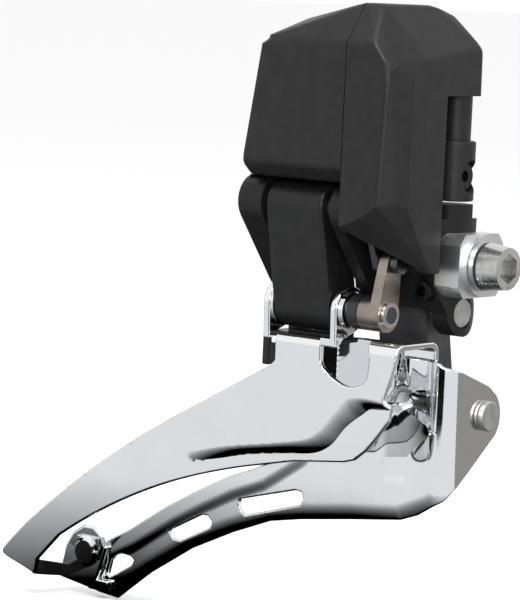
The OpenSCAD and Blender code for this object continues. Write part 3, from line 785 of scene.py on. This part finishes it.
OUTER_Y, INNER_Y = -18.5, -6.5
CREST = curve([(-50, -40.6), (-42.9, -38.9), (-30, -36.5), (-22.1, -34.6), (-18.8, -32.4), (-16.2, -29.2),
               (-14.3, -26.5), (-12.6, -25.1), (-10.3, -24.9), (-1, -25.5)])
CREASE = curve([(-50, -42.7), (-47.8, -42.2), (-43.6, -41.2), (-37.1, -39.5), (-27.5, -38), (-20.6, -37.1),
                (-16.7, -35.2), (-14.4, -32.6), (-12.8, -30.9), (-9.3, -28.3), (-7.6, -27), (-4, -26.7),
                (-1, -26.6)], 4)
BAND_DEPTH, BAND_START = 1.5, (-56, -36)
ARM_TOP, ARM_BEND, ARM_REACH = -16.6, 1.6, 8.8
QUARTER = math.pi / 2


def outer_surface(x, z):
    """The outer plate, with its lower band and its front arm.

    The band lies in from the main panel, below a step that is round at the crest and sharp at the crease.
    The arm folds inboard at its top and then down again.
    """
    to_crest, to_crease = distance(x, z, CREST), distance(x, z, CREASE)
    above, below = z > height(x, CREST), z < height(x, CREASE)
    t = np.clip(to_crease / (to_crease + to_crest + 1e-6), 0, 1)
    share = np.where(above, 1, np.where(below, 0, 1 - (1 - t) ** 2))
    level_y = OUTER_Y + BAND_DEPTH * ramp(x, *BAND_START) * (1 - share)
    bend = np.clip((z - ARM_TOP) / ARM_BEND, 0, QUARTER)
    along = np.maximum(z - ARM_TOP - ARM_BEND * QUARTER, 0)
    past = np.maximum(along - ARM_REACH, 0)
    bend_down = np.clip(past / ARM_BEND, 0, QUARTER)
    down = np.maximum(past - ARM_BEND * QUARTER, 0)
    y = np.where(past > 0, level_y + ARM_BEND + ARM_REACH + ARM_BEND * np.sin(bend_down),
                 level_y + ARM_BEND * (1 - np.cos(bend)) + along)
    top = np.minimum(z, ARM_TOP) + ARM_BEND * np.sin(bend) - ARM_BEND * (1 - np.cos(bend_down)) - down
    return np.stack([x, y, top], 1)


OUTER = (
    [(-30.1, -20.4), (-30.9, -21.2), (-31.5, -21.7)]
    + arc3((-48.9, -31.2), (-75.1, -46.8), (-94.8, -61.7), 20)
    + [(-99.5, -66.2), (-101.5, -68.4), (-101.4, -69.3), (-100.2, -69.9), (-95.5, -71.2), (-92.6, -72.1),
       (-91.9, -71.8), (-91.5, -69.2)]
    + arc3((-85.5, -63.2), (-61.2, -50.1), (-35.4, -41.9), 20)
    + [(-25.5, -39.7), (-13.3, -38.2), (-10.9, -37.5), (-8.2, -35.4), (-5.9, -32.8), (-3.1, -29.2),
       (-2.8, -26.4), (-3.4, -25), (-2, -21), (-0.8, -17.1), (-0.7, -14), (-0.7, -1.2), (-8.2, -1.2),
       (-8.2, -14.6), (-7.2, -17.5), (-7.5, -21)]
    + arc3((-8.2, -22.3), (-9.2, -22.9), (-14.2, -22.9), 5)
    + [(-16.3, -21.9), (-18.2, -20.6), (-18.8, -19.6), (-18.8, -15.4), (-30.2, -15.4)]
)

sharp_crease = [q for q in CREASE if -47 < q[0] < -4.2]
outer = sheet("outer_cage_plate", OUTER, outer_surface, creases=[sharp_crease], gap=0.62)
finish_piece(outer, "cage", "cage_chrome", ["outer_plate"])

# Lugs folded inboard from the outer plate, round the lower pivot pin
LUG_R, LUG_FOOT_Y = 4.6, (-19.1, -17.9)
LUGS = (("outer_rear_lug", -33.2, -31.6, -16.5), ("outer_front_lug", -16.8, -15.3, -16.4))
for name, x0, x1, foot in LUGS:
    outline = circle(LOWER_PIN, LUG_R, 40, -75, 255) + [(y, foot) for y in LUG_FOOT_Y] + [(-16.6, -15.1)]
    lug = prism(name, outline, X, x0, x1)
    applied(round_edges(lug, 0.35, 3, 40))
    finish_piece(smooth(lug, 50), "cage", "cage_chrome")

# Folds and a shelf that tie the lugs to the plate. The rear fold and its corner are chrome, painted near
# black as a painted dark reflection. The shelf and its back are near-black sheets that stand for the shade
# under the link, as painted shade.
TIES = (
    # painted dark reflection: the chrome rear fold and its corner are painted near black
    ("outer_rear_tie", (-33.2, -19.1, -21.6), (-31.7, -17.9, -14.9), "black_steel"),
    ("outer_rear_corner", (-31.8, -18.9, -21.4), (-30, -17.9, -17.2), "black_steel"),
    ("outer_front_tie", (-19.2, -19.1, -16.5), (-15.3, -17.9, -14.9), "cage_chrome"),
    # painted shade: near-black sheets that fill the shadowed gap under the outer link
    ("painted_shade_shelf", (-33, -18.8, -15.9), (-15.4, -11.9, -14.95), "black_steel"),
    ("painted_shade_shelf_back", (-33, -11.9, -15.8), (-17.1, -11.1, -13.3), "black_steel"),
)


def bar_piece(name, a, b, slot, width):
    """A box of the cage with round edges."""
    part = applied(round_edges(box(name, a, b), width))
    finish_piece(smooth(part), "cage", slot)


for tie in TIES:
    bar_piece(*tie, width=0.3)

# Thin rings on the lugs' faces round the lower pivot pin
RING_BORE, RING_THICK, RING_ROUND = 1.7, 0.55, 0.15
for name, x, r in (("outer_rear_ring", -31.6, 4.5), ("outer_front_ring", -15.3, 3.6)):
    far = x + RING_THICK
    ring = lathe(name, LOWER_PIN, X, [(x, RING_BORE), (x, r - RING_ROUND), (x + RING_ROUND, r),
                                      (far - RING_ROUND, r), (far, r - RING_ROUND), (far, RING_BORE),
                                      (x, RING_BORE)])
    finish_piece(smooth(ring), "cage", "cage_chrome")

# ---- inner cage plate -------------------------------------------------------

# The front flange is folded inboard; along it, u goes on from x round the bend
BEND_X, BEND_R = -0.5, 3.2
FLANGE_U = BEND_X + BEND_R * QUARTER - (INNER_Y + BEND_R)

# The line that the low edge curls towards, and the middle of the proud lip over the windows
LOW_EDGE = [(-90, -77.5), (-79.6, -76.9), (-71, -70.2), (-60.4, -63.5), (-49.9, -58.6), (-39.7, -54.6),
            (-32.1, -53.1), (-19.6, -51.2), (-7.5, -50), (-0.6, -46.9), (4.5, -43.9), (9, -40)]
LIP = [(-82, -64.7), (-77.1, -62.2), (-66.3, -55.4), (-58.4, -51.1), (-50.6, -47.2), (-42.9, -44.2),
       (-34, -38.5), (-29, -33.5)]
CURL_WIDTH, CURL = 3.2, 0.06
LIP_RISE, LIP_WIDTH = 0.4, (2.6, 5)

# The ledge under the pocket, and the line where the facet below it is deepest
LEDGE = [(-13, -27.9), (-9.2, -27.9), (-0.7, -31.9)]
FACET = [(-12.7, -38), (-6.7, -37.2), (-1.6, -31.9)]
LEDGE_RISE, LEDGE_PROUD, FACET_DEPTH = 0.5, 0.3, 0.5
POCKET_TOP, POCKET_DEPTH, POCKET_SLOPE = -23.5, 1.3, 0.38


def inner_surface(u, z):
    """The inner plate: a curled low edge, a lip, a pocket behind the front arm, and the front flange."""
    x = np.minimum(u, BEND_X)
    curl = CURL * np.clip(CURL_WIDTH - distance(x, z, LOW_EDGE), 0, CURL_WIDTH) ** 2 * ramp(x, -86, -60)
    lip = -LIP_RISE * (1 - ramp(distance(x, z, LIP), *LIP_WIDTH)) * ramp(-x, 24, 30)

    # The pocket deepens downwards to its ledge; below, the facet slopes in from the ledge and then fades out
    ledge_z = height(x, LEDGE)
    facet_z = np.minimum(height(x, FACET), ledge_z - 0.2)
    drop = np.clip(POCKET_TOP - z, 0, 9)
    drop = np.where(drop < 2, drop ** 2 / 4, drop - 1)
    pocket = (POCKET_DEPTH + POCKET_SLOPE * drop) * ramp(x, -11.5, -7) * (1 - ramp(x, -3.4, -0.5))
    share = np.clip((ledge_z - z) / (ledge_z - facet_z), 0, 1)
    below = np.where(z > facet_z, (LEDGE_PROUD + FACET_DEPTH) * share - LEDGE_PROUD,
                     FACET_DEPTH * (1 - ramp(facet_z - z, 0, 9)))
    above = np.clip((z - ledge_z) / LEDGE_RISE, 0, 1)
    fade = ramp(x, -14, -11) * (1 - ramp(u, -1.6, 0.2))
    front = (above * pocket + (1 - above) * below) * fade

    # At the top, the plate slopes inboard towards the rear, and a shallow valley runs down beside the pocket
    slope = 0.5 * np.clip(-24 - x, 0, 7) * ramp(z, -30, -25)
    valley = 0.8 * ramp(x, -16.5, -13.5) * (1 - ramp(x, -12.5, -9.8)) * ramp(z, -27, -24)
    bend = np.clip((u - BEND_X) / BEND_R, 0, QUARTER)
    along = np.maximum(u - BEND_X - BEND_R * QUARTER, 0)
    push = curl * np.cos(bend) + lip + front + slope + valley
    y = INNER_Y + BEND_R * (1 - np.cos(bend)) + along + push
    return np.stack([x + BEND_R * np.sin(bend), y, z], 1)


# Outline of the flange as (y, z)
FLANGE = ([(-3.5, -19.8), (5.4, -23.1)] + arc3((8, -25), (9.6, -28.8), (8.4, -33), 8)
          + [(0.4, -39.4), (-4.1, -42.8)])
INNER = (
    [(-18, -15.6), (-9, -15.8), (-8.4, -18.2), (-0.6, -18.2), (0.9, -19.2), (1.9, -19.4)]
    + [(y + FLANGE_U, z) for y, z in FLANGE]
    + [(2.2, -44.6), (-0.6, -46.2), (-3.5, -48), (-7.5, -49.5)]
    + LOW_EDGE[7:0:-1]
    + [(-85.4, -76.4), (-85.8, -74.8), (-84.2, -66.5)]
    + LIP[:6]
    + arc3((-34, -38), (-31.6, -29), (-30.8, -20), 6)
    + [(-30, -17), (-28, -15.8)]
)
WINDOWS = [
    [(-82.4, -72.3), (-81.6, -69.4), (-80.2, -68), (-78.5, -67.3), (-76.2, -67.6), (-75.3, -68.2),
     (-75.9, -69.3), (-79.9, -71.7), (-81.6, -72.6)],
    [(-65.8, -60.5), (-57.3, -56), (-55.6, -56), (-54.5, -57), (-54.9, -58.1), (-62.8, -62), (-64.6, -61.9)],
    [(-47.6, -51.4), (-33.2, -47.5), (-31.6, -47.7), (-31.2, -49), (-31.9, -50.1), (-45.8, -54.2),
     (-47.2, -53.4)],
]

ledge_lines = [LEDGE, [(x, z + LEDGE_RISE) for x, z in LEDGE], FACET]
inner = sheet("inner_cage_plate", INNER, inner_surface, WINDOWS, ledge_lines, gap=0.6)
finish_piece(inner, "cage", "cage_chrome", ["inner_plate"])

# The rear lug is folded inboard like the front flange, round the cage's inner pin
lug_y, lug_top = -6.3, -19.4
lug_round = arc3((5.4, lug_top - 4), (9.4, CAGE_PIN[1] + 0.5), (7.4, CAGE_PIN[1] - 5.4), 10)
rear_lug = prism("inner_rear_lug", [(lug_y, lug_top)] + lug_round + [(lug_y, lug_top - 24)], X, -19.8, -18.6)
applied(round_edges(rear_lug, 0.35, 3, 40))
finish_piece(smooth(rear_lug, 50), "cage", "cage_chrome")

# A plain pin with a grooved round head at its front end
PIN_R, HEAD, GROOVE = 1.6, 2.9, 2.55
CAGE_PIN_SHAPE = [(-20.6, 0), (-20.6, PIN_R), (3.3, PIN_R), (3.3, HEAD), (3.55, HEAD), (3.65, GROOVE),
                  (3.9, GROOVE), (4, HEAD), (4.55, HEAD), (4.8, 2.65), (4.8, 0)]
pin = lathe("cage_pin", CAGE_PIN, X, CAGE_PIN_SHAPE)
finish_piece(smooth(pin, 25), "cage", "pin_steel", ["cage_pivot_pin"], "pin_blasted")

# ---- tail of the cage -------------------------------------------------------

TAIL, TAIL_HOLE = (-87.2, -68), 1.55
TAB = [(-95, -74.5), (-86.4, -75.6), (-84.4, -74.4), (-81.6, -66.5), (-83, -64.1), (-85.4, -62.5),
       (-88.3, -62.5), (-91.4, -64.5), (-93.3, -67.5)]
TAIL_BARS = (("tail_joint", (-86.6, -8.4, -75.8), (-81.2, -7.1, -73.5), "cage_chrome"),
             ("tail_foot", (-98, -17.9, -70.3), (-92.5, -16.8, -67), "cage_chrome"))
WEB_X, WEB_SIDE = (-93.7, -92.5), ((-17.9, -72.6), (-17.9, -69.4), (-8.2, -74.2), (-8.2, -71.6))
RIVET_RIM = [(-8.65, 2), (-9.2, 2), (-9.45, 2.15), (-9.35, 2.4), (-8.9, 2.7), (-8.6, 3.3), (-8.6, 2)]

tab = applied(round_edges(prism("tail_tab", TAB, Y, -8.6, -7.4), 1.1, 4, 20))
carve(tab, cylinder(TAIL, Y, -12, -5, TAIL_HOLE, 40))
finish_piece(smooth(tab, 30), "cage", "cage_chrome", ["tail_bridge"])
for tail_bar in TAIL_BARS:
    bar_piece(*tail_bar, width=0.25)
web = hull("tail_web", [(x, y, z) for x in WEB_X for y, z in WEB_SIDE], 0.25, segments=3)
finish_piece(smooth(web), "cage", "black_steel")
rim = lathe("tail_rivet_rim", TAIL, Y, RIVET_RIM)
finish_piece(smooth(rim, 50), "cage", "cage_chrome")

# ---- CAD nodes that stay ----------------------------------------------------

REPLACED = {"rear_cover", "motor_case", "outer_link", "outer_plate", "inner_plate", "tail_bridge",
            "cage_pivot_pin"}
OTHER_FINISH = {
    "arm_pin": "dark_steel", "rod_bush": "pin_steel", "pin_washer": "pin_steel",
    "support_bolt": "black_steel", "inner_pivot_pin": "pin_blasted", "lower_pivot_pin": "dark_steel",
}
for node in frame["nodes"]:
    if node not in REPLACED:
        dress_node(node, mat=OTHER_FINISH.get(node))
